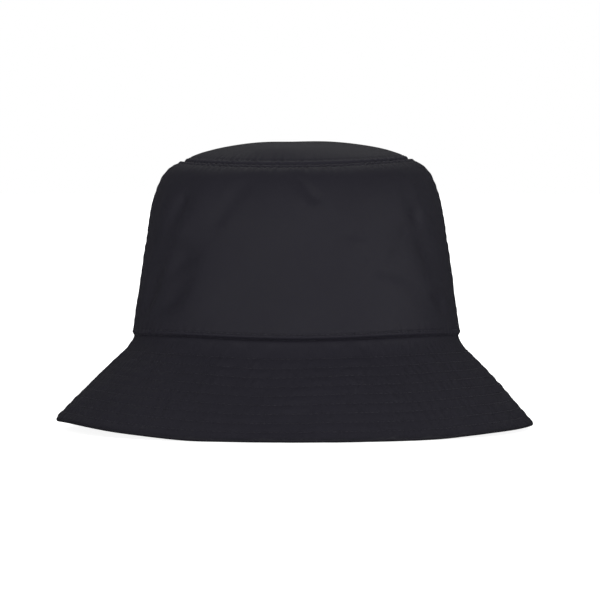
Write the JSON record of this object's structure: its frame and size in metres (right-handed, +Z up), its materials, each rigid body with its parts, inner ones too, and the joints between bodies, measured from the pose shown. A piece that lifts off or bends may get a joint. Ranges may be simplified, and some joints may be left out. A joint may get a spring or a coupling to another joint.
{
  "type": "bucket hat",
  "caption": "Soft fabric bucket hat with a domed crown, a short flared brim in topstitched rows, a lining and a sweatband.",
  "frame": {"origin": "middle of the plane that the brim's edge stands on", "axes": "+Z up through the crown; the front of the hat faces -Y, so +Y is its rear and its longest way, and +X is the wearer's left"},
  "size_m": [0.2598, 0.2794, 0.1561],
  "materials": {
    "shell_fabric": "near-black cotton twill, matt with a faint sheen",
    "stiffener": "grey non-woven interlining",
    "lining_fabric": "thin black plain-weave lining, slightly shiny",
    "sweatband_tape": "black herringbone tape",
    "care_label_fabric": "blank off-white satin tape",
    "woven_label_fabric": "blank dark woven label",
    "thread": "near-black polyester sewing thread"
  },
  "bodies": {
    "hat": {"crown_tip": "shell_fabric", "crown_panel_front": "shell_fabric", "crown_panel_rear": "shell_fabric", "brim_upper_front": "shell_fabric", "brim_upper_rear": "shell_fabric", "brim_under_front": "shell_fabric", "brim_under_rear": "shell_fabric", "brim_stiffener_front": "stiffener", "brim_stiffener_rear": "stiffener", "lining_tip": "lining_fabric", "lining_panel_front": "lining_fabric", "lining_panel_rear": "lining_fabric", "sweatband": "sweatband_tape", "woven_label": "woven_label_fabric", "brim_hem_stitch": "thread", "brim_row_stitch_1": "thread", "brim_row_stitch_2": "thread", "brim_row_stitch_3": "thread", "brim_row_stitch_4": "thread", "brim_row_stitch_5": "thread", "brim_row_stitch_6": "thread", "brim_row_stitch_7": "thread", "brim_row_stitch_8": "thread", "crown_base_stitch": "thread", "tip_seam_lower_stitch": "thread", "tip_seam_upper_stitch": "thread", "sweatband_stitch": "thread", "right_side_seam_stitch": "thread", "left_side_seam_stitch": "thread"},
    "care_label": {"care_label": "care_label_fabric"}
  },
  "joints": [
    {"name": "care_label_swing", "type": "hinge", "parent": "hat", "child": "care_label", "pos_m": [0, 0.08985, 0.0812], "axis": [1, 0, 0], "range_deg": [-150, 5]}
  ]
}
